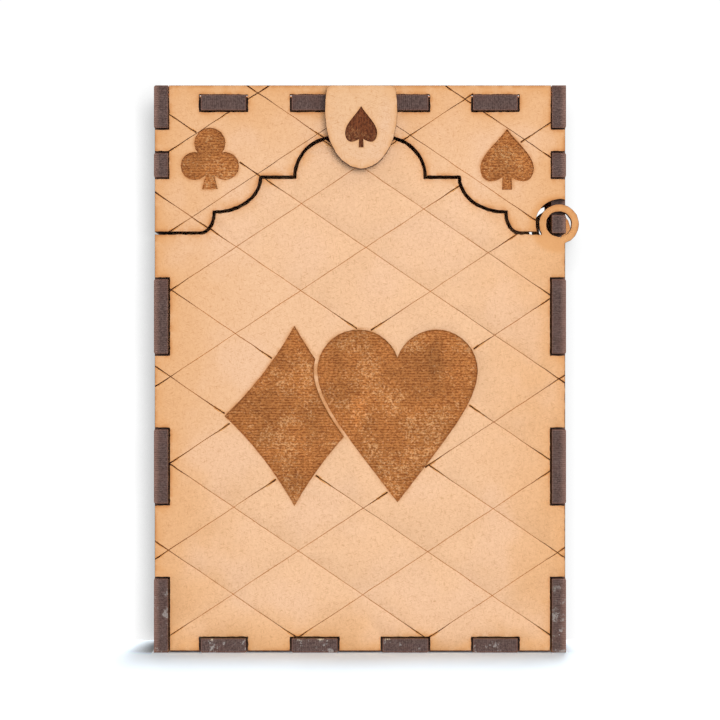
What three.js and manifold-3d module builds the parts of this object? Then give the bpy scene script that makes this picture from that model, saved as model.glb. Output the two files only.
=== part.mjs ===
// Playing-card deck box laser-cut from flat fibreboard: a finger-jointed body, a lighter-style lid
// that swings sideways on two ring ears, and a small latch that turns on the lid's front panel.
// Units are millimetres, +Z is up, the front faces -Y and the origin is the centre of the base.
import * as THREE from "three";
import { mergeVertices } from "three/addons/utils/BufferGeometryUtils.js";
import Module from "manifold-3d";

const wasm = await Module();
wasm.setup();

// ---- Driving dimensions ------------------------------------------------------------------
const BOARD = 2.5; // board thickness, the same for every panel
const WIDTH = 72.3; // front and back panels, edge to edge
const HEIGHT = 99.95; // ground to the lid's rim
const DEPTH = 27; // front face to back face
const FOOT = 0.35; // front and back panels stop this far above the ground
const PROUD = 0.15; // the side panels stand this far out of the front panel's edges
const GLUE = 0.05; // clearance between board faces that are glued together
const KERF = 0.25; // burnt gap round every finger in its slot
const SPLIT_GAP = 0.45; // width of the cut between lid and body
const ENGRAVED = 0.4; // depth of the engraved suits

const FACE = DEPTH / 2; // |y| of the outer faces
const INNER = FACE - BOARD; // |y| of the inner faces
const SIDE_OUT = WIDTH / 2 + PROUD; // |x| of the side panels' outer faces
const SIDE_IN = SIDE_OUT - BOARD; // |x| of the side panels' inner faces

// Slots for the fingers, as [start, end] along the edge they are cut into.
const BODY_SIDE_SLOTS = [[-KERF, 13.3], [26, 39.6], [52.4, 66.05]];
const LID_SIDE_SLOTS = [[83.5, 88.3], [92.2, HEIGHT + KERF]];
const CROSS_SLOTS = [[-28.3, -19.8], [-12.3, -3.7], [3.7, 12.3], [19.65, 28.05]];
const END_SLOT = [-4.2, 4.2]; // the single slot for top and bottom in each side panel

const TOP_Z = [95.55, 98.05]; // underside and upper face of the lid's top panel

// Hinge: tenons of the lid's right side panel turn in ring ears of the body's front and back.
const HINGE = { x: SIDE_OUT - BOARD / 2, z: 75.5 };
const EAR_RADIUS = 3.55;
const EAR_HOLE_RADIUS = 2.2;
const EAR_CUTAWAY = { x: 35.15, z: 75.7, radius: 4.15 }; // the lid panels are cut away round the ear
const TENON_HEIGHT = 3.2;
const RIGHT_SIDE_TOP = 72.8; // low enough for the turning end of the lid's side panel

// Cut between lid and body: steps, two quarter lobes and the top arch, mirrored about x = 0.
const SPLIT_Z = 73.95;
const STEP_Z = 83.75;
const SMALL_LOBE = { x: -28.1, z: 77.55, across: 2.4, down: 3.6 };
const LARGE_LOBE = { x: -25.7, z: STEP_Z, across: 8.2, down: 6.15 };
const ARCH = { x: -4.45, z: STEP_Z, radius: 7.05 };
const DIP = { z: 97.65, radius: 9.12 }; // hollow in the top of the arch, behind the latch
const CUSP_X = -5.84; // where the arch meets the dip

// Latch: a tongue in front of the lid and a plate behind it, joined by a hub through the lid.
const LATCH_X = 0.2;
const HUB_Z = 92.25;
const HUB_RADIUS = 2;
const HUB_HOLE_RADIUS = 2.15;
const LATCH_GAP = 0.1; // between tongue or plate and the lid panel
const TONGUE = { halfWidth: 6.35, top: 99.75, shoulder: 94.75, bottom: 85.1 };
const TONGUE_CORNER = { topHalf: 5, sideHalf: 6.15, down: 1.1, fade: 2.7 }; // its rounded top corners
const PLATE = { halfWidth: 2.8, bottomCentreZ: 87.55 };

const EXTRA = 1; // how far cutting solids reach past the face they open

// ---- Solids ------------------------------------------------------------------------------
function solidOf(geometry) {
  geometry.deleteAttribute("normal");
  geometry.deleteAttribute("uv");
  const merged = mergeVertices(geometry, 1e-4);
  const vertProperties = merged.attributes.position.array;
  const triVerts = new Uint32Array(merged.index.array);
  return new wasm.Manifold(new wasm.Mesh({ numProp: 3, vertProperties, triVerts }));
}

function block([x0, x1], [y0, y1], [z0, z1]) {
  const geometry = new THREE.BoxGeometry(x1 - x0, y1 - y0, z1 - z0);
  geometry.translate((x0 + x1) / 2, (y0 + y1) / 2, (z0 + z1) / 2);
  return solidOf(geometry);
}

// A flat shape drawn in x and z, given thickness from y0 to y1.
function sheet(shape, [y0, y1], curveSegments = 12) {
  const depth = y1 - y0;
  const geometry = new THREE.ExtrudeGeometry(shape, { depth, curveSegments, bevelEnabled: false });
  geometry.rotateX(Math.PI / 2);
  geometry.translate(0, y1, 0);
  return solidOf(geometry);
}

function disc(x, z, radius, thickness, curveSegments = 40) {
  const shape = new THREE.Shape().absarc(x, z, radius, 0, 2 * Math.PI);
  return sheet(shape, thickness, curveSegments / 2);
}

const join = (solids) => solids.reduce((whole, solid) => whole.add(solid));
const cut = (solid, tools) => tools.flat(Infinity).reduce((rest, tool) => rest.subtract(tool), solid);
const mirrored = ([from, to]) => [-to, -from];
const grown = ([from, to], by) => [from - by, to + by];

// ---- The cut between lid and body ----------------------------------------------------------
function splitCentreLine() {
  const half = new THREE.Path();
  half.moveTo(-WIDTH / 2, SPLIT_Z);
  half.lineTo(SMALL_LOBE.x, SPLIT_Z);
  for (const lobe of [SMALL_LOBE, LARGE_LOBE])
    half.absellipse(lobe.x, lobe.z, lobe.across, lobe.down, -Math.PI / 2, 0, false);
  half.lineTo(ARCH.x - ARCH.radius, STEP_Z);
  const cuspZ = DIP.z - Math.sqrt(DIP.radius ** 2 - CUSP_X ** 2);
  const archEnd = Math.atan2(cuspZ - ARCH.z, CUSP_X - ARCH.x);
  half.absarc(ARCH.x, ARCH.z, ARCH.radius, Math.PI, archEnd, true);
  half.absarc(0, DIP.z, DIP.radius, Math.atan2(cuspZ - DIP.z, CUSP_X), -Math.PI / 2, false);
  const left = half.getPoints(6);
  const right = left.slice(0, -1).reverse().map((p) => new THREE.Vector2(-p.x, p.y));
  return [...left, ...right];
}

// The polyline moved sideways by a distance, to the left of its direction when positive.
function offsetLine(points, distance) {
  const clean = points.filter((p, i) => i === 0 || p.distanceTo(points[i - 1]) > 1e-4);
  const last = clean.length - 2;
  const normalAfter = (i) => {
    const along = clean[i + 1].clone().sub(clean[i]).normalize();
    return new THREE.Vector2(-along.y, along.x);
  };
  return clean.map((point, i) => {
    const mitre = normalAfter(Math.max(i - 1, 0)).add(normalAfter(Math.min(i, last)));
    mitre.multiplyScalar((2 * distance) / mitre.lengthSq());
    return point.clone().add(mitre);
  });
}

function bodyOutline() {
  return new THREE.Shape([
    ...offsetLine(splitCentreLine(), -SPLIT_GAP / 2),
    new THREE.Vector2(WIDTH / 2, FOOT),
    new THREE.Vector2(-WIDTH / 2, FOOT),
  ]);
}

function lidOutline() {
  return new THREE.Shape([
    ...offsetLine(splitCentreLine(), SPLIT_GAP / 2),
    new THREE.Vector2(WIDTH / 2, HEIGHT),
    new THREE.Vector2(-WIDTH / 2, HEIGHT),
  ]);
}

// ---- Suits, engraved into the front --------------------------------------------------------
const HEART = { x: 6.6, lobeZ: 49.65, lobeX: 6.87, lobeRadius: 7.23, tip: 23.1 };
const HEART_SIDE = { bow: 8.5, bowDrop: 12, lobeDrop: 5.5 }; // handles of the curve from lobe to tip
const DIAMOND = { x: -11.55, z: 41.7, halfWidth: 12.25, halfHeight: 15.8, hollow: 1.1 };
const HEART_LAND = 0.7; // plain strip between the heart and the diamond it overlaps

// Two round lobes with bowed sides down to the tip, drawn larger all round by grow: a sharp tip
// and a slanting side move out by more than grow on one axis and by less on the other.
function heartShape(grow = 0) {
  const { x, lobeZ, lobeX } = HEART;
  const radius = HEART.lobeRadius + grow;
  const tipZ = lobeZ - HEART.tip - 1.65 * grow;
  const notch = Math.acos(lobeX / radius);
  const side = lobeX + radius;
  const sideZ = lobeZ - HEART_SIDE.lobeDrop;
  const bow = HEART_SIDE.bow + 0.6 * grow;
  const bowZ = lobeZ - HEART_SIDE.bowDrop - 0.8 * grow;
  const shape = new THREE.Shape();
  shape.moveTo(x, tipZ);
  shape.bezierCurveTo(x + bow, bowZ, x + side, sideZ, x + side, lobeZ);
  shape.absarc(x + lobeX, lobeZ, radius, 0, Math.PI - notch, false);
  shape.absarc(x - lobeX, lobeZ, radius, notch, Math.PI, false);
  shape.bezierCurveTo(x - side, sideZ, x - bow, bowZ, x, tipZ);
  return shape;
}

function diamondShape() {
  const { x, z, halfWidth, halfHeight, hollow } = DIAMOND;
  const corners = [[0, 1], [-1, 0], [0, -1], [1, 0]];
  const shape = new THREE.Shape();
  shape.moveTo(x, z + halfHeight);
  corners.forEach(([a, b], i) => {
    const [c, d] = corners[(i + 1) % corners.length];
    const middleX = ((a + c) / 2) * (halfWidth - 2 * hollow);
    const middleZ = ((b + d) / 2) * (halfHeight - 2 * hollow);
    shape.quadraticCurveTo(x + middleX, z + middleZ, x + c * halfWidth, z + d * halfHeight);
  });
  return shape;
}

const LID_SPADE = { x: 25.9, tipZ: 92.2, halfWidth: 4.67, height: 10.6, stem: 0.16 };
const TONGUE_SPADE = { x: LATCH_X, tipZ: 96, halfWidth: 2.77, height: 7.1, stem: 0.12 };

// A spade from its tip downwards; the points and its stem are shares of its half width and height.
function spadeShape({ x, tipZ, halfWidth, height, stem }) {
  const at = (across, down) => [x + across * halfWidth, tipZ - down * height];
  const shape = new THREE.Shape();
  shape.moveTo(...at(0, 0));
  shape.bezierCurveTo(...at(-0.3, 0.2), ...at(-0.98, 0.42), ...at(-1, 0.63));
  shape.bezierCurveTo(...at(-1.01, 0.77), ...at(-0.84, 0.86), ...at(-0.64, 0.86));
  shape.bezierCurveTo(...at(-0.45, 0.86), ...at(-0.28, 0.83), ...at(-stem, 0.79));
  shape.lineTo(...at(-stem - 0.02, 1));
  shape.lineTo(...at(stem + 0.02, 1));
  shape.lineTo(...at(stem, 0.79));
  shape.bezierCurveTo(...at(0.28, 0.83), ...at(0.45, 0.86), ...at(0.64, 0.86));
  shape.bezierCurveTo(...at(0.84, 0.86), ...at(1.01, 0.77), ...at(1, 0.63));
  shape.bezierCurveTo(...at(0.98, 0.42), ...at(0.3, 0.2), ...at(0, 0));
  return shape;
}

// A club: three round leaves, the filled middle and a flared stem, as overlapping shapes.
const CLUB = { x: -26.45, topLeafZ: 89.75, sideLeafZ: 85.73, spread: 2.68, footZ: 81.7 };
const CLUB_LEAVES = { topRadius: 2.7, sideRadius: 2.43 };
const CLUB_STEM = { neckHalf: 0.7, neckRise: 2.35, footHalf: 1.34 };

function clubShapes() {
  const { x, topLeafZ, sideLeafZ, spread, footZ } = CLUB;
  const { topRadius, sideRadius } = CLUB_LEAVES;
  const { neckHalf, neckRise, footHalf } = CLUB_STEM;
  const leaf = (dx, z, radius) => new THREE.Shape().absarc(x + dx, z, radius, 0, 2 * Math.PI);
  const rightHalf = [
    [topRadius / 2, topLeafZ - topRadius / 2],
    [spread - sideRadius / 6, sideLeafZ - sideRadius / 6],
    [neckHalf, footZ + neckRise],
    [footHalf, footZ],
  ];
  const leftHalf = rightHalf.map(([dx, z]) => [-dx, z]).reverse();
  const outline = [...rightHalf, ...leftHalf].map(([dx, z]) => new THREE.Vector2(x + dx, z));
  const sideLeaves = [-spread, spread].map((dx) => leaf(dx, sideLeafZ, sideRadius));
  return [leaf(0, topLeafZ, topRadius), ...sideLeaves, new THREE.Shape(outline)];
}

const engraving = (shape, face = -FACE) => sheet(shape, [face - EXTRA, face + ENGRAVED], 8);

function heartAndDiamond() {
  const land = sheet(heartShape(HEART_LAND), [-FACE - 2 * EXTRA, -INNER]);
  return [engraving(heartShape()), engraving(diamondShape()).subtract(land)];
}

// ---- Fingers and the slots that take them --------------------------------------------------
const THROUGH = [-FACE, FACE];

function sideFingers(side, slots, [low, high]) {
  const across = side > 0 ? [SIDE_IN, SIDE_OUT] : [-SIDE_OUT, -SIDE_IN];
  return slots.map((slot) => {
    const [from, to] = grown(slot, -KERF);
    return block(across, THROUGH, [Math.max(from, low), Math.min(to, high)]);
  });
}

function sideNotches(slots, gap) {
  const notch = [SIDE_IN - gap, SIDE_OUT + EXTRA];
  const through = grown(THROUGH, EXTRA);
  return slots.flatMap(([from, to]) => {
    const along = [from < 0 ? -EXTRA : from, to > HEIGHT ? to + EXTRA : to];
    return [block(notch, through, along), block(mirrored(notch), through, along)];
  });
}

// A cross panel is the lid's top or the body's bottom: both have the same fingers.
function crossFingers(zRange) {
  const end = [-SIDE_OUT, SIDE_OUT];
  return [block(end, grown(END_SLOT, -KERF), zRange)].concat(
    CROSS_SLOTS.map((slot) => block(grown(slot, -KERF), THROUGH, zRange)),
  );
}

function crossSlots(zRange) {
  const z = grown(zRange, KERF);
  return CROSS_SLOTS.map((slot) => block(slot, grown(THROUGH, EXTRA), z));
}

function endSlots(zRange) {
  return [block(grown([-SIDE_OUT, SIDE_OUT], EXTRA), END_SLOT, grown(zRange, KERF))];
}

// ---- Body ----------------------------------------------------------------------------------
const FRONT = [-FACE, -INNER];
const BACK = [INNER, FACE];
const BETWEEN = [-INNER + GLUE, INNER - GLUE];
const BOTTOM_Z = [0, BOARD];

function bodyPanel(thickness, engravings) {
  const ear = disc(HINGE.x, HINGE.z, EAR_RADIUS, thickness);
  const hole = disc(HINGE.x, HINGE.z, EAR_HOLE_RADIUS, grown(thickness, EXTRA));
  return cut(sheet(bodyOutline(), thickness).add(ear), [
    hole,
    sideNotches(BODY_SIDE_SLOTS, KERF),
    crossSlots(BOTTOM_Z),
    engravings,
  ]);
}

function sidePanel(side, zRange, slots, crossZ) {
  const across = side > 0 ? [SIDE_IN, SIDE_OUT] : [-SIDE_OUT, -SIDE_IN];
  const panel = join([block(across, BETWEEN, zRange), ...sideFingers(side, slots, zRange)]);
  return cut(panel, endSlots(crossZ));
}

function crossPanel(zRange) {
  const core = block([-SIDE_IN + GLUE, SIDE_IN - GLUE], BETWEEN, zRange);
  return join([core, ...crossFingers(zRange)]);
}

// ---- Lid -----------------------------------------------------------------------------------
function lidPanel(thickness, cuts) {
  const { x, z, radius } = EAR_CUTAWAY;
  return cut(sheet(lidOutline(), thickness), [
    disc(x, z, radius, grown(thickness, EXTRA)),
    sideNotches(LID_SIDE_SLOTS, KERF / 2),
    crossSlots(TOP_Z),
    cuts,
  ]);
}

// ---- Latch ---------------------------------------------------------------------------------
function tongue() {
  const { halfWidth, top, shoulder, bottom } = TONGUE;
  const { topHalf, sideHalf, down, fade } = TONGUE_CORNER;
  const at = (across, z) => [LATCH_X + across, z];
  const shape = new THREE.Shape();
  shape.moveTo(...at(-topHalf, top));
  shape.quadraticCurveTo(...at(-sideHalf, top), ...at(-sideHalf, top - down));
  shape.lineTo(...at(-halfWidth, top - fade));
  shape.lineTo(...at(-halfWidth, shoulder));
  shape.absellipse(LATCH_X, shoulder, halfWidth, shoulder - bottom, Math.PI, 2 * Math.PI, false);
  shape.lineTo(...at(halfWidth, top - fade));
  shape.lineTo(...at(sideHalf, top - down));
  shape.quadraticCurveTo(...at(sideHalf, top), ...at(topHalf, top));
  const face = -FACE - LATCH_GAP - BOARD;
  return sheet(shape, [face, face + BOARD], 20).subtract(engraving(spadeShape(TONGUE_SPADE), face));
}

function latchPlate() {
  const { halfWidth, bottomCentreZ } = PLATE;
  const shape = new THREE.Shape();
  shape.absarc(LATCH_X, HUB_Z, halfWidth, 0, Math.PI, false);
  shape.absarc(LATCH_X, bottomCentreZ, halfWidth, Math.PI, 2 * Math.PI, false);
  const nearFace = -INNER + LATCH_GAP;
  return sheet(shape, [nearFace, nearFace + BOARD], 12);
}

// ---- The assembly --------------------------------------------------------------------------
const BOARD_FACE = 0xf0c192;
const BOARD_PALE = 0xf2c9a2;
const CUT_EDGE = 0x6b5957;

function piece(name, solid, color) {
  const mesh = solid.getMesh();
  const geometry = new THREE.BufferGeometry();
  const positions = Float32Array.from(mesh.vertProperties);
  geometry.setAttribute("position", new THREE.BufferAttribute(positions, 3));
  geometry.setIndex(new THREE.BufferAttribute(Uint32Array.from(mesh.triVerts), 1));
  geometry.computeVertexNormals();
  const material = new THREE.MeshStandardMaterial({ color, roughness: 0.75, metalness: 0 });
  const made = new THREE.Mesh(geometry, material);
  made.name = name;
  return made;
}

const frontCuts = [
  disc(LATCH_X, HUB_Z, HUB_HOLE_RADIUS, grown(FRONT, EXTRA)),
  clubShapes().map((shape) => engraving(shape)),
  engraving(spadeShape(LID_SPADE)),
];
const tenonZ = grown([HINGE.z, HINGE.z], TENON_HEIGHT / 2);
const rightLidSlots = [...LID_SIDE_SLOTS, grown(tenonZ, KERF)];
const leftBodyZ = [0, SPLIT_Z - SPLIT_GAP / 2];
const leftLidZ = [SPLIT_Z + SPLIT_GAP / 2, HEIGHT];
const hubY = grown(FRONT, LATCH_GAP - GLUE);

const group = new THREE.Group();
group.add(
  piece("body_front_panel", bodyPanel(FRONT, heartAndDiamond()), BOARD_FACE),
  piece("body_back_panel", bodyPanel(BACK, []), BOARD_FACE),
  piece("body_left_side", sidePanel(-1, leftBodyZ, BODY_SIDE_SLOTS, BOTTOM_Z), CUT_EDGE),
  piece("body_right_side", sidePanel(1, [0, RIGHT_SIDE_TOP], BODY_SIDE_SLOTS, BOTTOM_Z), CUT_EDGE),
  piece("body_bottom", crossPanel(BOTTOM_Z), BOARD_FACE),
  piece("lid_front_panel", lidPanel(FRONT, frontCuts), BOARD_FACE),
  piece("lid_back_panel", lidPanel(BACK, []), BOARD_FACE),
  piece("lid_left_side", sidePanel(-1, leftLidZ, LID_SIDE_SLOTS, TOP_Z), CUT_EDGE),
  piece("lid_right_side", sidePanel(1, [tenonZ[0], HEIGHT], rightLidSlots, TOP_Z), CUT_EDGE),
  piece("lid_top", crossPanel(TOP_Z), BOARD_FACE),
  piece("latch_tongue", tongue(), BOARD_PALE),
  piece("latch_hub", disc(LATCH_X, HUB_Z, HUB_RADIUS, hubY), CUT_EDGE),
  piece("latch_plate", latchPlate(), BOARD_PALE),
);

export default group;
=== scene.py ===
"""Looks of a laser-cut deck box for playing cards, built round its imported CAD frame.

Every CAD panel gets a finished copy with softened and rippled laser-cut edges, raster ridges on
its engraved floors and scored lines cut into its big faces. Numbers are millimetres times MM.
"""

import math
import random

import bmesh
import bpy
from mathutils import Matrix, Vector, noise


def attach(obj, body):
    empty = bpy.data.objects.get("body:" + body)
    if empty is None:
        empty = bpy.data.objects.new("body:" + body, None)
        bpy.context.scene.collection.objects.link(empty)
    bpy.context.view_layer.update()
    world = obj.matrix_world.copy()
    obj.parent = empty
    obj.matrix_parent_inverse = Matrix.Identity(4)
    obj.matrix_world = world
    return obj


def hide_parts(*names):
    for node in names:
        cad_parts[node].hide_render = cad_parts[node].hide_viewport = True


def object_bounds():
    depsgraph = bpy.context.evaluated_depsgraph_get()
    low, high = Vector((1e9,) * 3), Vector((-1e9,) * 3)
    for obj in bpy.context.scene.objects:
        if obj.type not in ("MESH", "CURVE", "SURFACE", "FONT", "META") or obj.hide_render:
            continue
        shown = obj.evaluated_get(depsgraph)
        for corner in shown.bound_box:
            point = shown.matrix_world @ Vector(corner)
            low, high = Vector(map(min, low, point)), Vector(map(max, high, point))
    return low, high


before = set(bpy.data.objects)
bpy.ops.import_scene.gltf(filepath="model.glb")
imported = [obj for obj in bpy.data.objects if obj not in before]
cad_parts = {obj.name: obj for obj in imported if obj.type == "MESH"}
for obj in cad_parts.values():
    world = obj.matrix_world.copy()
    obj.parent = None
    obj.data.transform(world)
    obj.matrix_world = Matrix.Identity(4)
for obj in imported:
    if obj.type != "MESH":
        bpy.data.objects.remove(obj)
cad_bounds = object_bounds()

MM = 0.001
X, Y, Z = range(3)

# Material slots, the same on every piece.
BOARD_FACE, CUT_EDGE, ENGRAVED, SCORED, RIM, SCORCHED = range(6)

BOARD = 2.5 * MM
HINGE = (34.9 * MM, 75.5 * MM)  # x and z near the ears' middle
EAR_RADIUS = 5.2 * MM
EDGE_SOFTENING = 0.05 * MM
FINGER_CORNER = 0.35 * MM
ON_PLANE = 0.01 * MM
NEAR_PLANE = 0.02 * MM

CUT_RIPPLE_PITCH = 0.16 * MM
CUT_RIPPLE_DEPTH = 0.035 * MM
RASTER_PITCH = 0.235 * MM
RASTER_DEPTH = 0.07 * MM
JAG_PITCH = 0.42 * MM
JAG_DEPTH = 0.1 * MM
JAG_GRAIN = 0.5 * MM
SHORT_WALL = 0.17 * MM  # walls of the outline shorter than this are dropped
GAP_CLOSED = 0.3 * MM  # how far the lid top's fingers rise to fill their slots
CELL = 8.7 * MM  # size of the cells that the big faces are cut into

# Scored lattice: (slope, heights where its lines cross the middle) for each body's panels.
LATTICE = {
    "body": [
        (-0.68, [-4.9 + 15.4 * k for k in range(6)] + [85.8]),
        (0.66, [-5.3 + 15.2 * k for k in range(7)]),
    ],
    "lid": [
        (-0.68, [56.6, 72, 86.4, 97.2, 110.1]),
        (0.66, [71.2, 85.3, 96.3, 110.5]),
    ],
}
SCORE_MIDDLE_HALF = 0.055 * MM
SCORE_END_HALF = 0.14 * MM
SCORE_DEPTH = 0.7  # depth as a share of the half width
SCORE_FADE = 2.2 * MM
SCORE_STEP = 2.2 * MM
SCORE_WOBBLE = 0.045 * MM
SCORE_RISE = 0.05 * MM  # how far a cutting bar stands out of the face
SHORTEST_SCORE = 3.6 * MM
BURN_FADE = 4.0 * MM
SCORCH_HALF = 0.27 * MM
SCORCH_LENGTH = 3.4 * MM
SCORCH_DEPTH = 0.012 * MM


# ---- Mesh tools ----------------------------------------------------------------------------
def clean_copy(node):
    """The node's mesh with its duplicate vertices merged and its flat faces whole again."""
    bm = bmesh.new()
    bm.from_mesh(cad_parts[node].data)
    bmesh.ops.remove_doubles(bm, verts=bm.verts, dist=0.001 * MM)
    flat = math.radians(0.5)
    bmesh.ops.dissolve_limit(bm, angle_limit=flat, verts=bm.verts, edges=bm.edges)
    bm.normal_update()
    return bm


def unit(axis):
    """A vector of length one along the axis."""
    direction = Vector((0, 0, 0))
    direction[axis] = 1
    return direction


def extent(bm, axis):
    places = [v.co[axis] for v in bm.verts]
    return min(places), max(places)


def sort_faces(bm, thickness):
    """Gives each face its material: board face, engraving or cut edge."""
    low, high = extent(bm, thickness)
    for face in bm.faces:
        if abs(face.normal[thickness]) < 0.9:
            depths = [v.co[thickness] for v in face.verts]
            shallow = max(depths) - min(depths) < 0.5 * BOARD
            face.material_index = ENGRAVED if shallow else CUT_EDGE
            continue
        place = face.calc_center_median()[thickness]
        outside = min(place - low, high - place) < 0.05 * MM
        face.material_index = BOARD_FACE if outside else ENGRAVED


def sharp_edges(bm, beside=None):
    """Convex edges sharper than a bend, all of them or those beside one material."""
    limit = math.radians(40)
    convex = [e for e in bm.edges if e.is_manifold and e.is_convex]
    found = [e for e in convex if e.calc_face_angle() > limit]
    if beside is None:
        return found
    return [e for e in found if any(f.material_index == beside for f in e.link_faces)]


def finger_edges(bm, axis, thickness, outer):
    """Edges along axis, in the fingers at the panel's two ends, on its outer side."""
    low, high = extent(bm, axis)
    outside = extent(bm, thickness)[max(outer, 0)]
    reach = BOARD + 0.1 * MM
    found = []
    for edge in sharp_edges(bm):
        a, b = (v.co for v in edge.verts)
        along = abs(b[axis] - a[axis])
        parallel = along > 0.99 * (b - a).length and along > 0.9 * BOARD
        in_finger = max(a[axis], b[axis]) < low + reach or min(a[axis], b[axis]) > high - reach
        if parallel and in_finger and abs(a[thickness] - outside) < ON_PLANE:
            found.append(edge)
    return found


def soften(bm, edges, width, segments, material=-1):
    bmesh.ops.bevel(
        bm,
        geom=edges,
        offset=width,
        offset_type="OFFSET",
        segments=segments,
        profile=0.5,
        affect="EDGES",
        clamp_overlap=True,
        material=material,
    )
    bm.normal_update()


def drop_short_walls(bm):
    """Shrinks the tiny walls at the tips of the outline, which jag would fold over."""
    cut = {e for f in bm.faces if f.material_index == CUT_EDGE for e in f.edges}
    short = [e for e in bm.edges if e in cut and e.calc_length() < SHORT_WALL]
    bmesh.ops.collapse(bm, edges=short)
    bm.normal_update()


def jag(bm, thickness, draw):
    """Makes the inner cut outlines uneven, the way a pulsing laser leaves them."""
    bounds = [extent(bm, axis) for axis in (X, Y, Z)]
    across = unit(thickness)

    def on_outside(wall):
        place = wall.calc_center_median()
        return any(
            abs(place[axis] - end) < NEAR_PLANE for axis in (X, Y, Z) for end in bounds[axis]
        )

    walls = [f for f in bm.faces if f.material_index == CUT_EDGE and not on_outside(f)]
    for wall in list(walls):
        run = wall.normal.cross(across)
        places = [v.co.dot(run) for v in wall.verts]
        start, length = min(places), max(places) - min(places)
        count = int(length / JAG_PITCH)
        geometry = [wall, *wall.edges, *wall.verts]
        for k in range(1, count):
            place = start + length * (k + draw.uniform(-0.25, 0.25)) / count
            done = bmesh.ops.bisect_plane(
                bm, geom=geometry, dist=1e-8, plane_co=run * place, plane_no=run
            )
            geometry = done["geom"]
        walls += [f for f in geometry if isinstance(f, bmesh.types.BMFace)]
    bm.normal_update()
    pushes = {}
    for wall in set(walls):
        for vert in wall.verts:
            pushes[vert] = pushes.get(vert, Vector((0, 0, 0))) + wall.normal
    for vert, push in pushes.items():
        push[thickness] = 0
        place = vert.co.copy()
        place[thickness] = 0
        share = 0.5 + noise.noise(place / JAG_GRAIN)
        vert.co -= push.normalized() * JAG_DEPTH * min(1, max(0, share))
    bm.normal_update()


def split_faces(bm, thickness):
    """Cuts the big board faces into cells, so that they are drawn from well-shaped triangles."""
    for axis in {X, Y, Z} - {thickness}:
        low, high = extent(bm, axis)
        across = unit(axis)
        for k in range(1, int((high - low) / CELL) + 1):
            faces = [f for f in bm.faces if f.material_index == BOARD_FACE]
            geometry = faces + list({e for f in faces for e in f.edges})
            geometry += list({v for f in faces for v in f.verts})
            bmesh.ops.bisect_plane(
                bm, geom=geometry, dist=1e-8, plane_co=across * (low + k * CELL), plane_no=across
            )
    bm.normal_update()


def close_gap(bm):
    """Raises the lid top's fingers against the upper ends of their slots."""
    top = extent(bm, Z)[1]
    bounds = [extent(bm, axis) for axis in (X, Y)]
    for axis in (X, Y):
        low, high = bounds[axis]
        across = unit(axis)
        for root in (low + BOARD, high - BOARD):
            geometry = [*bm.faces, *bm.edges, *bm.verts]
            bmesh.ops.bisect_plane(
                bm, geom=geometry, dist=1e-6, plane_co=across * root, plane_no=across
            )
    for vert in bm.verts:
        reach = [abs(vert.co[axis] - end) for axis in (X, Y) for end in bounds[axis]]
        if vert.co.z > top - ON_PLANE and min(reach) < 0.5 * BOARD:
            vert.co.z += GAP_CLOSED
    bm.normal_update()


def ripple(bm, faces, run, pitch, depth, draw):
    """Cuts the faces across their run and pushes every second cut into the board."""
    if not faces:
        return
    normal = faces[0].normal.copy()
    places = [v.co[run] for f in faces for v in f.verts]
    low, high = min(places), max(places)
    geometry = list(faces)
    geometry += list({e for f in faces for e in f.edges})
    geometry += list({v for f in faces for v in f.verts})
    across = unit(run)
    sunk = []
    place = low + pitch
    deep = True
    while place < high - 0.4 * pitch:
        done = bmesh.ops.bisect_plane(
            bm, geom=geometry, dist=1e-8, plane_co=across * place, plane_no=across
        )
        geometry = done["geom"]
        if deep:
            sunk.append([v for v in done["geom_cut"] if isinstance(v, bmesh.types.BMVert)])
        deep = not deep
        place += pitch * draw.uniform(0.75, 1.25)
    for line in sunk:
        shift = normal * -depth * draw.uniform(0.4, 1)
        for vert in line:
            vert.co += shift


# ---- Scored lines --------------------------------------------------------------------------
def face_outline(bm, side):
    """The board face's place on that side of y, and the edges round it.

    Each edge is (start, end, whether it is beside an engraving).
    """
    low, high = extent(bm, Y)
    plane = low if side < 0 else high
    outline = []
    for edge in bm.edges:
        kinds = sorted(f.material_index for f in edge.link_faces)
        on_plane = all(abs(v.co.y - plane) < ON_PLANE for v in edge.verts)
        if on_plane and kinds in ([BOARD_FACE, CUT_EDGE], [BOARD_FACE, ENGRAVED]):
            a, b = edge.verts
            outline.append((a.co.copy(), b.co.copy(), kinds[1] == ENGRAVED))
    return plane, outline


def strokes_on(outline, slope, height):
    """The parts of a lattice line on the board face, as pairs of (x, beside engraving)."""
    hits = []
    for a, b, shallow in outline:
        over_a = a.z - slope * a.x - height
        over_b = b.z - slope * b.x - height
        if (over_a > 0) != (over_b > 0):
            share = over_a / (over_a - over_b)
            hits.append((a.x + share * (b.x - a.x), shallow))
    hits.sort()
    return list(zip(hits[::2], hits[1::2]))


def bar(bm, stations, outward):
    """A three-sided cutting bar through stations of (centre, sideways, half width, depth)."""
    rings = []
    for centre, sideways, half, depth in stations:
        top = centre + Vector((0, outward * SCORE_RISE, 0))
        across = sideways * half * (1 + SCORE_RISE / depth)
        bottom = centre - Vector((0, outward * depth, 0))
        rings.append([bm.verts.new(p) for p in (top + across, top - across, bottom)])
    for a, b in zip(rings, rings[1:]):
        for i in range(3):
            j = (i + 1) % 3
            bm.faces.new((a[i], a[j], b[j], b[i]))
    bm.faces.new(rings[0])
    bm.faces.new(rings[-1])


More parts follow.
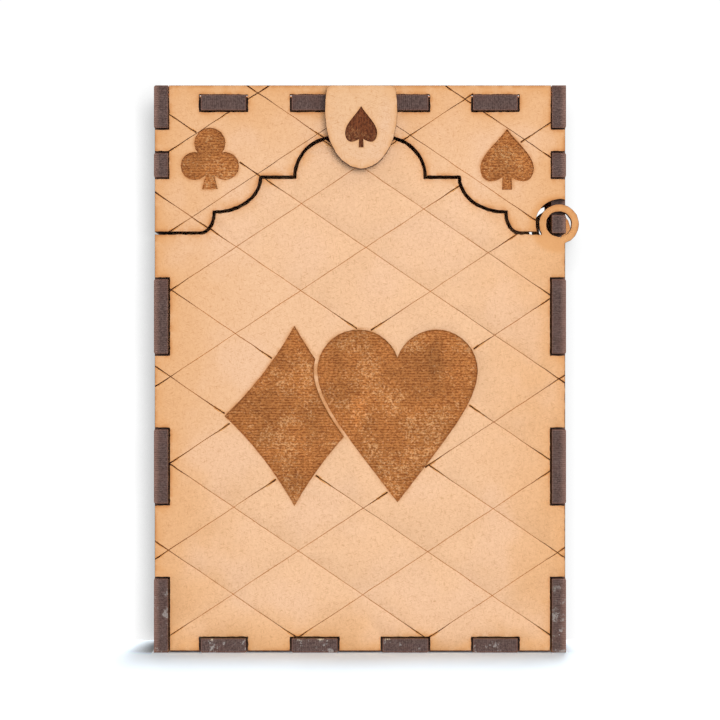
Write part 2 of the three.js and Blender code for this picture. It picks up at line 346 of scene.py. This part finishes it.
def groove(bm, start, end, outward, draw):
    """A score from start to end: thin and faint in its middle, wide and wavering at its ends."""
    along = end - start
    length = along.length
    along.normalize()
    sideways = along.cross(Vector((0, 1, 0)))
    count = max(2, round(length / SCORE_STEP))
    near = [0, 0.5 * MM, 1.1 * MM]
    inner = [length * k / count for k in range(1, count)]
    stations = []
    for s in sorted(set(near + inner + [length - n for n in near])):
        fade = math.exp(-min(s, length - s) / SCORE_FADE)
        half = SCORE_MIDDLE_HALF + (SCORE_END_HALF - SCORE_MIDDLE_HALF) * fade
        half *= draw.uniform(0.8, 1.2)
        wobble = draw.uniform(-1, 1) * SCORE_WOBBLE
        centre = start + along * s + sideways * wobble
        stations.append((centre, sideways, half, SCORE_DEPTH * half))
    bar(bm, stations, outward)


def scorch_marks(bm, start, end, outward, draw):
    """Two shallow browned streaks under the score's two ends."""
    along = end - start
    reach = min(SCORCH_LENGTH, 0.45 * along.length)
    along.normalize()
    sideways = along.cross(Vector((0, 1, 0)))
    for place, way in ((start, 1), (end, -1)):
        stations = []
        for share, width in ((0, 0.8), (0.3, 1), (0.65, 0.6), (1, 0.15)):
            half = SCORCH_HALF * width * draw.uniform(0.8, 1.1)
            centre = place + along * (way * share * reach)
            stations.append((centre, sideways, half, SCORCH_DEPTH))
        bar(bm, stations, outward)


def strokes(plane, outline, slope, heights):
    """Start and end of every score on the face: past the board's edges, short of the suits."""
    found = []
    for height in heights:
        for (x0, shallow0), (x1, shallow1) in strokes_on(outline, slope, height * MM):
            x0 += 0.3 * MM if shallow0 else -0.3 * MM
            x1 -= 0.3 * MM if shallow1 else -0.3 * MM
            ends = [Vector((x, plane, slope * x + height * MM)) for x in (x0, x1)]
            middle = (ends[0] + ends[1]) / 2
            on_ear = math.hypot(middle.x - HINGE[0], middle.z - HINGE[1]) < EAR_RADIUS
            if x1 - x0 > SHORTEST_SCORE and not on_ear:
                found.append(ends)
    return found


def cutter(make, lines, side, material, draw):
    """One mesh with make's cutting bars for every line, all in one material."""
    bm = bmesh.new()
    for start, end in lines:
        make(bm, start, end, side, draw)
    bmesh.ops.recalc_face_normals(bm, faces=bm.faces)
    for face in bm.faces:
        face.material_index = material
    mesh = bpy.data.meshes.new("cutter")
    bm.to_mesh(mesh)
    bm.free()
    return mesh


def mark_burn(mesh, lines):
    """Stores on each vertex how near a score's end it is: 1 at the end, towards 0 far from it."""
    ends = [point for line in lines for point in line]
    scored = {v for f in mesh.polygons if f.material_index == SCORED for v in f.vertices}
    burn = [0.0] * len(mesh.vertices)
    for index in scored:
        place = mesh.vertices[index].co
        nearest = min((place - point).length for point in ends)
        burn[index] = math.exp(-nearest / BURN_FADE)
    mesh.attributes.new("burn", "FLOAT", "POINT").data.foreach_set("value", burn)


def carve(made, cutter_mesh):
    """Cuts the cutter out of the piece, and keeps the result as the piece's own mesh."""
    for material in made.data.materials:
        cutter_mesh.materials.append(material)
    tool = bpy.data.objects.new("cutter", cutter_mesh)
    bpy.context.scene.collection.objects.link(tool)
    for solver in ("MANIFOLD", "EXACT"):
        modifier = made.modifiers.new("carve", "BOOLEAN")
        modifier.operation = "DIFFERENCE"
        modifier.solver = solver
        modifier.object = tool
        graph = bpy.context.evaluated_depsgraph_get()
        mesh = bpy.data.meshes.new_from_object(made.evaluated_get(graph))
        made.modifiers.clear()
        if len(mesh.polygons) > len(made.data.polygons):
            made.data = mesh
            break
        print("boolean fell back on", made.name)
    bpy.data.objects.remove(tool)


# ---- Materials, in millimetres -------------------------------------------------------------
HALF_WIDTH = 36.2
HEIGHT = 99.95


def srgb(code):
    """A hex colour as linear red, green, blue and alpha."""
    parts = [(code >> shift & 255) / 255 for shift in (16, 8, 0)]
    linear = [p / 12.92 if p <= 0.04045 else ((p + 0.055) / 1.055) ** 2.4 for p in parts]
    return (*linear, 1)


class Material:
    """A node material with short calls for the few kinds of node used here."""

    def __init__(self, name):
        self.material = bpy.data.materials.new(name)
        self.material.use_nodes = True
        self.nodes = self.material.node_tree.nodes
        self.links = self.material.node_tree.links
        self.shader = self.nodes["Principled BSDF"]
        coordinates = self.node("ShaderNodeTexCoord", [], output="Object")
        inputs = {"Vector": coordinates, "Scale": 1 / MM}
        self.place = self.node("ShaderNodeVectorMath", inputs, operation="SCALE")

    def node(self, kind, inputs, output=0, **settings):
        """One output of a new node: inputs is a list in order, or a dict by name."""
        made = self.nodes.new(kind)
        for key, value in settings.items():
            setattr(made, key, value)
        for key, value in enumerate(inputs) if isinstance(inputs, list) else inputs.items():
            if isinstance(value, bpy.types.NodeSocket):
                self.links.new(value, made.inputs[key])
            elif value is not None:
                made.inputs[key].default_value = value
        return made.outputs[output]

    def math(self, operation, a, b=None, clamp=False):
        return self.node("ShaderNodeMath", [a, b], operation=operation, use_clamp=clamp)

    def times(self, a, b, clamp=False):
        return self.math("MULTIPLY", a, b, clamp)

    def plus(self, a, b, clamp=False):
        return self.math("ADD", a, b, clamp)

    def axis(self, index):
        return self.node("ShaderNodeSeparateXYZ", [self.place], output=index)

    def stretched(self, scales):
        return self.node("ShaderNodeVectorMath", [self.place, scales], operation="MULTIPLY")

    def turned(self, degrees, scales):
        """The place turned about y and then stretched."""
        turn = (0, math.radians(degrees), 0)
        turned = self.node("ShaderNodeVectorRotate", {"Vector": self.place, "Rotation": turn},
                           rotation_type="EULER_XYZ")
        return self.node("ShaderNodeVectorMath", [turned, scales], operation="MULTIPLY")

    def ring_distance(self, x, z):
        """Distance in mm from the line along y through x and z."""
        dx, dz = self.plus(self.axis(X), -x), self.plus(self.axis(Z), -z)
        return self.math("SQRT", self.plus(self.times(dx, dx), self.times(dz, dz)))

    def rows(self, run, pitch, waver):
        """Even rows across the run: 0 to 1 at that pitch, a little wavy."""
        phase = self.plus(self.times(run, 2 * math.pi / pitch), self.times(self.noise(0.7), waver))
        return self.plus(self.times(self.math("SINE", phase), 0.5), 0.5)

    def noise(self, scale, detail=2.0, vector=None, roughness=0.5):
        inputs = {"Vector": vector or self.place, "Scale": scale, "Detail": detail,
                  "Roughness": roughness}
        return self.node("ShaderNodeTexNoise", inputs)

    def between(self, value, low, high, to_low=0.0, to_high=1.0):
        """The value mapped smoothly from low..high to to_low..to_high."""
        inputs = {"Value": value, "From Min": low, "From Max": high, "To Min": to_low,
                  "To Max": to_high}
        return self.node("ShaderNodeMapRange", inputs, interpolation_type="SMOOTHSTEP")

    def mix(self, factor, a, b, blend="MIX"):
        made = self.nodes.new("ShaderNodeMix")
        made.data_type = "RGBA"
        made.blend_type = blend
        for key, value in ((0, factor), (6, a), (7, b)):
            if isinstance(value, bpy.types.NodeSocket):
                self.links.new(value, made.inputs[key])
            else:
                made.inputs[key].default_value = value
        return made.outputs[2]

    def near_edge(self, reach, inside=True, only_local=True, samples=6):
        """1 at a convex edge (or a concave one, with inside off), 0 beyond the reach."""
        open_share = self.node(
            "ShaderNodeAmbientOcclusion", {"Distance": reach * MM}, output="AO",
            inside=inside, only_local=only_local, samples=samples,
        )
        return self.between(open_share, 1, 0.5)

    def finish(self, colour, roughness, height=None, bump=0.02):
        self.links.new(colour, self.shader.inputs["Base Color"])
        if isinstance(roughness, bpy.types.NodeSocket):
            self.links.new(roughness, self.shader.inputs["Roughness"])
        else:
            self.shader.inputs["Roughness"].default_value = roughness
        self.shader.inputs["Specular IOR Level"].default_value = 0.25
        if height is not None:
            inputs = {"Height": height, "Distance": bump * MM, "Strength": 1.0}
            normal = self.node("ShaderNodeBump", inputs)
            self.links.new(normal, self.shader.inputs["Normal"])
        return self.material


def fibres(m):
    """Short fibres lying every way in the pressed board: 0 to 1, mostly near 0.5."""
    layers = []
    for degrees in (12, 74, 133):
        strand = m.turned(degrees, (0.6, 2.4, 5.0))
        layers.append(m.noise(1.0, 2.0, strand, 0.6))
    total = m.plus(m.plus(layers[0], layers[1]), layers[2])
    return m.times(total, 1 / 3)


def board_material(name, middle, border, pale, scorch, browned):
    """Pressed board: warmer towards the panel's borders, browned beside every cut."""
    m = Material(name)
    across = m.math("ABSOLUTE", m.axis(X))
    up = m.axis(Z)
    side = m.math("SUBTRACT", HALF_WIDTH, across)
    top = m.math("SUBTRACT", HEIGHT, up)
    away = m.math("MINIMUM", side, m.math("MINIMUM", top, m.times(up, 1.6)))
    away = m.plus(away, m.times(m.noise(0.11, 2.0), 9.0))
    colour = m.mix(m.between(away, 2.5, 24), srgb(border), srgb(middle))
    patches = m.between(m.noise(0.075, 2.0), 0.45, 0.65, 0, 0.6)
    colour = m.mix(m.times(patches, m.between(away, 2.5, 12)), colour, srgb(pale))
    strands = fibres(m)
    grain = m.noise(2.3, 3.0, roughness=0.75)
    light = m.plus(m.between(grain, 0.28, 0.72), m.between(strands, 0.37, 0.62))
    tone = m.mix(m.times(light, 0.5), (0.925, 0.89, 0.86, 1), (1.055, 1.075, 1.095, 1))
    colour = m.mix(1.0, colour, tone, "MULTIPLY")
    for degrees in (25, 100, 160):
        hairs = m.noise(1.0, 1.0, m.turned(degrees, (0.8, 2.0, 6.5)))
        colour = m.mix(m.between(hairs, 0.62, 0.7, 0, 0.4), colour, srgb(0xC58A58))
    ring = m.ring_distance(HINGE[0] / MM, HINGE[1] / MM)
    colour = m.mix(m.between(ring, 5.6, 4.4, 0, 0.7), colour, srgb(scorch))
    wander = m.noise(0.5, 3.0, roughness=0.65)
    wide = m.times(m.near_edge(2.4), m.between(wander, 0.35, 0.6, 0.25, 1.0))
    colour = m.mix(m.times(wide, 0.7, True), colour, srgb(scorch))
    narrow = m.times(m.near_edge(0.75), m.between(wander, 0.35, 0.62, 0.25, 1.0))
    colour = m.mix(m.times(narrow, 0.85, True), colour, srgb(browned))
    roughness = m.between(strands, 0.3, 0.7, 0.72, 0.86)
    return m.finish(colour, roughness, m.plus(strands, m.times(grain, 0.6)), 0.04)


def cut_edge_material(name, thickness):
    """Charred laser-cut edge, striped across the board's thickness."""
    m = Material(name)
    run = m.axis(Z) if thickness == X else m.axis(X)
    stripes = m.rows(run, 0.34, 3.0)
    weave = m.noise(2.6, 3.0, roughness=0.75)
    mottle = m.plus(m.times(m.plus(stripes, -0.5), 0.07), weave)
    colour = m.mix(m.between(mottle, 0.38, 0.62), srgb(0x4C3935), srgb(0x6E5852))
    cloud = m.noise(0.3, 3.0)
    colour = m.mix(m.between(cloud, 0.45, 0.75, 0, 0.5), colour, srgb(0x63443C))
    if thickness == X:
        # Paler towards the side panel's outer face, most on the stripes' crests.
        outer = m.between(m.math("ABSOLUTE", m.axis(X)), 35.1, HALF_WIDTH, 0, 0.6)
        paler_outer = m.times(outer, m.between(stripes, 0, 1, 0.6, 1.0))
        colour = m.mix(paler_outer, colour, srgb(0xA67F70))
    rim = m.times(m.near_edge(0.35), 0.55)
    colour = m.mix(rim, colour, srgb(0x8A6052))
    low = m.between(m.axis(Z), 4, 22, 1, 0)
    ash = m.between(m.noise(0.55, 4.0, roughness=0.75), 0.55, 0.63, 0, 0.85)
    colour = m.mix(m.times(ash, low), colour, srgb(0xA39A95))
    glue = m.between(m.noise(0.55, 3.0, roughness=0.7), 0.56, 0.64, 0, 0.9)
    seam = m.times(m.between(m.axis(Z), 2.0, 2.4), m.between(m.axis(Z), 2.6, 3.2, 1, 0))
    colour = m.mix(m.times(glue, seam), colour, srgb(0xD9C4A0))
    return m.finish(colour, 0.7, stripes, 0.06)


def rim_material(name):
    """The burnt arris of every cut: reddish where it is free, soot and painted shade in a gap."""
    m = Material(name)
    # Painted shade with soot: the arris darkens towards near black where other parts crowd it.
    gap = m.near_edge(0.5, inside=False, only_local=False)
    gap = m.times(gap, m.between(m.axis(Z), 0.3, 1.0))
    colour = m.mix(m.noise(1.5, 2.0), srgb(0x8A5C42), srgb(0x6B4431))
    return m.finish(m.mix(gap, colour, srgb(0x1A100B)), 0.8)


def engraved_material(name, dark, middle, light, streak_axis, patches=()):
    """Raster-engraved floor: burnt grains crossed by the laser's lines, with pale flecks.

    Each patch is x, z, half width and half height of a spot, and a factor on its brightness.
    """
    m = Material(name)
    lines = m.rows(m.axis(Z if streak_axis == X else X), 0.47, 2.0)
    scales = [3.2, 3.2, 3.2]
    scales[streak_axis] = 1.9
    grain = m.noise(1.0, 3.0, m.stretched(scales), 0.8)
    burnt = m.plus(m.times(m.plus(lines, -0.5), 0.09), grain)
    colour = m.mix(m.between(burnt, 0.38, 0.6), srgb(dark), srgb(middle))
    spots = m.noise(2.7, 2.0, roughness=0.75)
    where = m.between(m.noise(0.2, 3.0, roughness=0.6), 0.4, 0.62, 0.6, 0.47)
    flecks = m.times(m.math("SUBTRACT", spots, where), 5.0, True)
    colour = m.mix(m.times(flecks, 0.7), colour, srgb(light))
    cloud = m.between(m.noise(0.15, 2.0), 0.32, 0.68, 0.86, 1.1)
    for x, z, across, up, gain in patches:
        dx = m.times(m.plus(m.axis(X), -x), 1 / across)
        dz = m.times(m.plus(m.axis(Z), -z), 1 / up)
        distance = m.math("SQRT", m.plus(m.times(dx, dx), m.times(dz, dz)))
        bend = m.plus(distance, m.times(m.noise(0.5, 3.0), 0.8))
        cloud = m.times(cloud, m.between(bend, 0.8, 1.5, gain, 1.0))
    colour = m.mix(1.0, colour, cloud, "MULTIPLY")
    # Painted shade: the floor darkens beside the pocket's walls, in the recess's inner corners.
    wall = m.near_edge(0.8, inside=False)
    colour = m.mix(m.times(wall, 0.3), colour, srgb(dark))
    return m.finish(colour, 0.8, burnt, 0.06)


def scored_material(name):
    """Burnt groove: dark brown at a score's ends, light brown between them."""
    m = Material(name)
    burn = m.node("ShaderNodeAttribute", [], output="Fac", attribute_name="burn")
    waver = m.plus(burn, m.times(m.plus(m.noise(0.35, 2.0), -0.5), 0.5))
    colour = m.mix(m.between(waver, 0.0, 0.7), srgb(0xBE7A40), srgb(0x4A2009))
    return m.finish(colour, 0.85)


def scorched_material(name):
    """Board lightly browned by smoke beside the ends of the scores."""
    m = Material(name)
    colour = m.mix(m.between(m.noise(0.9, 3.0), 0.35, 0.65), srgb(0xE0A469), srgb(0xCF8A4B))
    return m.finish(colour, 0.8)


# ---- Pieces --------------------------------------------------------------------------------
def ripple_ends(bm, thickness, draw):
    """Ripples the cut edges on the panel's outermost sides."""
    for run in {X, Y, Z} - {thickness}:
        normal_axis = ({X, Y, Z} - {thickness, run}).pop()
        for end in extent(bm, normal_axis):
            ends = [
                f for f in bm.faces
                if f.material_index == CUT_EDGE
                and abs(f.normal[normal_axis]) > 0.999
                and abs(f.calc_center_median()[normal_axis] - end) < NEAR_PLANE
            ]
            ripple(bm, ends, run, CUT_RIPPLE_PITCH, CUT_RIPPLE_DEPTH, draw)


def score(made, groups, side, draw):
    """Cuts the scores and their scorched ends into the piece's board face."""
    for lines in groups:
        carve(made, cutter(scorch_marks, lines, side, SCORCHED, draw))
    for lines in groups:
        carve(made, cutter(groove, lines, side, SCORED, draw))
    mark_burn(made.data, [line for lines in groups for line in lines])


def finished_piece(node, thickness, body, materials, outer=0, face=0):
    """The looks of one CAD node. outer is the side of the thickness whose finger corners are
    rounded, and face the side of y that is scored: -1, 1 or 0 for none."""
    draw = random.Random(node)
    bm = clean_copy(node)
    sort_faces(bm, thickness)
    plane, outline = face_outline(bm, face) if face else (None, None)
    if node == "lid_top":
        close_gap(bm)
    if face:
        drop_short_walls(bm)
    if thickness == Y:
        jag(bm, thickness, draw)
    for axis in {X, Y} - {thickness} if outer else ():
        soften(bm, finger_edges(bm, axis, thickness, outer), FINGER_CORNER, 3)
    soften(bm, sharp_edges(bm, beside=ENGRAVED), EDGE_SOFTENING, 1, ENGRAVED)
    soften(bm, sharp_edges(bm, beside=CUT_EDGE), EDGE_SOFTENING, 1, RIM)
    split_faces(bm, thickness)
    engraved = [f for f in bm.faces if f.material_index == ENGRAVED]
    floors = [f for f in engraved if abs(f.normal[thickness]) > 0.99]
    raster = X if node == "latch_tongue" else Z
    ripple(bm, floors, raster, RASTER_PITCH, RASTER_DEPTH, draw)
    ripple_ends(bm, thickness, draw)
    mesh = bpy.data.meshes.new(node + "_looks")
    bm.to_mesh(mesh)
    bm.free()
    mesh.attributes.remove(mesh.attributes["custom_normal"])  # the CAD faces' own, now stale
    for material in materials:
        mesh.materials.append(material)
    made = bpy.data.objects.new(node + "_looks", mesh)
    bpy.context.scene.collection.objects.link(made)
    if face:
        groups = [strokes(plane, outline, slope, heights) for slope, heights in LATTICE[body]]
        score(made, groups, face, draw)
    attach(made, body)
    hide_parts(node)


board = board_material("board", 0xF0C299, 0xE8B27F, 0xF1C5A1, 0xDFA064, 0xC07C44)
pale_board = board_material("pale_board", 0xECC09A, 0xEABC90, 0xEEC8AA, 0xE6B07C, 0xD59C68)
scored = scored_material("scored")
rim = rim_material("rim")
scorched = scorched_material("scorched")
cut_edges = {axis: cut_edge_material(f"cut_edge_{axis}", axis) for axis in (X, Y, Z)}
HEART_PATCHES = [(-0.2, 42.6, 2.0, 3.6, 1.24), (13.4, 51.5, 1.8, 6.5, 0.84)]
suits = engraved_material("suits", 0x884A1D, 0xC17C41, 0xE8B47C, X, HEART_PATCHES)
dark_suit = engraved_material("dark_suit", 0x55260E, 0x824624, 0xB67E50, Z)

# Node: (thickness axis, body, material slot, side its fingers are rounded on, scored side of y).
PANELS = {
    "body_front_panel": (Y, "body", "mdf_face", 0, -1),
    "body_back_panel": (Y, "body", "mdf_face", 0, 1),
    "body_left_side": (X, "body", "mdf_side", -1, 0),
    "body_right_side": (X, "body", "mdf_side", 1, 0),
    "body_bottom": (Z, "body", "mdf_side", -1, 0),
    "lid_front_panel": (Y, "lid", "mdf_face", 0, -1),
    "lid_back_panel": (Y, "lid", "mdf_face", 0, 1),
    "lid_left_side": (X, "lid", "mdf_side", -1, 0),
    "lid_right_side": (X, "lid", "mdf_side", 1, 0),
    "lid_top": (Z, "lid", "mdf_side", 0, 0),
}
for node, (thickness, body, slot, outer, face) in PANELS.items():
    materials = [board, cut_edges[thickness], suits, scored, rim, scorched]
    finished_piece(node, thickness, body, materials, outer, face)
for node in ("latch_tongue", "latch_hub", "latch_plate"):
    materials = [pale_board, cut_edges[Y], dark_suit, scored, rim, scorched]
    finished_piece(node, Y, "latch", materials)


# ---- Stage ---------------------------------------------------------------------------------
low, high = cad_bounds
CONTACT_SHADOW = 5.6 * MM
BEHIND_BOX = (37, 36.5)  # mm from the middle: no shadow is looked for between the two sides
FAR_FLOOR = (180, 420)  # mm from the middle: the floor turns as bright as the backdrop
WHITE = (1.03, 1.03, 1.03)
FLOOR_TINT = (0.98, 1.11, 1.22)  # evens out the warm light that the box throws on the floor


def white_sheet(name, kind, corners, tint, lean):
    """A white sheet with a soft contact shadow that leans one way, clear from behind.

    Far from the box it glows evenly, so that no view shows where the sheet ends.
    """
    mesh = bpy.data.meshes.new(name)
    mesh.from_pydata(corners, [], [(0, 1, 2, 3)])
    sheet = bpy.data.objects.new(name, mesh)
    bpy.context.scene.collection.objects.link(sheet)
    m = Material(name)
    occlusion = {"Distance": CONTACT_SHADOW, "Normal": m.node("ShaderNodeCombineXYZ", lean)}
    open_share = m.node("ShaderNodeAmbientOcclusion", occlusion, output="AO", samples=12)
    behind_box = m.between(m.math("ABSOLUTE", m.axis(X)), *BEHIND_BOX)
    open_share = m.math("MAXIMUM", open_share, behind_box)
    colour = m.mix(1.0, (*tint, 1), open_share, "MULTIPLY")
    near = m.node(kind, {"Color": colour})
    glow = m.node("ShaderNodeEmission", {"Color": (*WHITE, 1)})
    distance = m.node("ShaderNodeVectorMath", [m.place], output="Value", operation="LENGTH")
    front = m.node("ShaderNodeMixShader", [m.between(distance, *FAR_FLOOR), near, glow])
    clear = m.node("ShaderNodeBsdfTransparent", [])
    from_behind = m.node("ShaderNodeNewGeometry", [], output="Backfacing")
    surface = m.node("ShaderNodeMixShader", [from_behind, front, clear])
    m.links.new(surface, m.nodes["Material Output"].inputs["Surface"])
    mesh.materials.append(m.material)
    sheet.visible_shadow = False
    sheet.visible_diffuse = False
    sheet.visible_glossy = False


wide = 3.0
back = high.y + 0.3 * MM
floor_corners = [(-wide, -wide, 0), (wide, -wide, 0), (wide, wide, 0), (-wide, wide, 0)]
white_sheet("floor", "ShaderNodeBsdfDiffuse", floor_corners, FLOOR_TINT, [0.45, 0, 0.89])
wall_corners = [(-wide, back, 0), (wide, back, 0), (wide, back, wide), (-wide, back, wide)]
white_sheet("backdrop", "ShaderNodeEmission", wall_corners, WHITE, [0.45, -0.77, 0.45])


def area_light(name, place, width, depth, power):
    """A soft light at that place in metres, turned to the middle of the box."""
    data = bpy.data.lights.new(name, "AREA")
    data.shape = "RECTANGLE"
    data.size = width
    data.size_y = depth
    data.energy = power
    light = bpy.data.objects.new(name, data)
    light.location = place
    target = (cad_bounds[0] + cad_bounds[1]) / 2
    light.rotation_euler = (target - Vector(place)).to_track_quat("-Z", "Y").to_euler()
    bpy.context.scene.collection.objects.link(light)


area_light("key", (0.2, -1.2, 0.24), 0.6, 0.6, 10.7)
area_light("top", (0.03, 0.3, 1.1), 0.1, 0.5, 9.5)
area_light("rear", (0.1, 1.2, 0.9), 0.6, 0.6, 8.0)

# The world lights the box softly and shows brighter, as a white background, to the camera.
SKY_LIGHT, SKY_SEEN = 0.4, 1.1
world = bpy.data.worlds.new("studio")
world.use_nodes = True
tree = world.node_tree
background = tree.nodes["Background"]
background.inputs["Color"].default_value = (1, 1, 1, 1)
light_path = tree.nodes.new("ShaderNodeLightPath")
strength = tree.nodes.new("ShaderNodeMapRange")
strength.inputs["To Min"].default_value = SKY_LIGHT
strength.inputs["To Max"].default_value = SKY_SEEN
tree.links.new(light_path.outputs["Is Camera Ray"], strength.inputs["Value"])
tree.links.new(strength.outputs["Result"], background.inputs["Strength"])
bpy.context.scene.world = world
bpy.context.scene.view_settings.view_transform = "Standard"

# ---- Camera --------------------------------------------------------------------------------
CAMERA_DISTANCE = 597.4 * MM  # in front of the box, square on
CAMERA_HEIGHT = 51.56 * MM
lens = bpy.data.cameras.new("camera")
lens.sensor_width = 36
lens.lens = 170.3
camera = bpy.data.objects.new("camera", lens)
camera.location = (0, low.y - CAMERA_DISTANCE, CAMERA_HEIGHT)
camera.rotation_euler = (math.pi / 2, 0, 0)
bpy.context.scene.collection.objects.link(camera)
bpy.context.scene.camera = camera
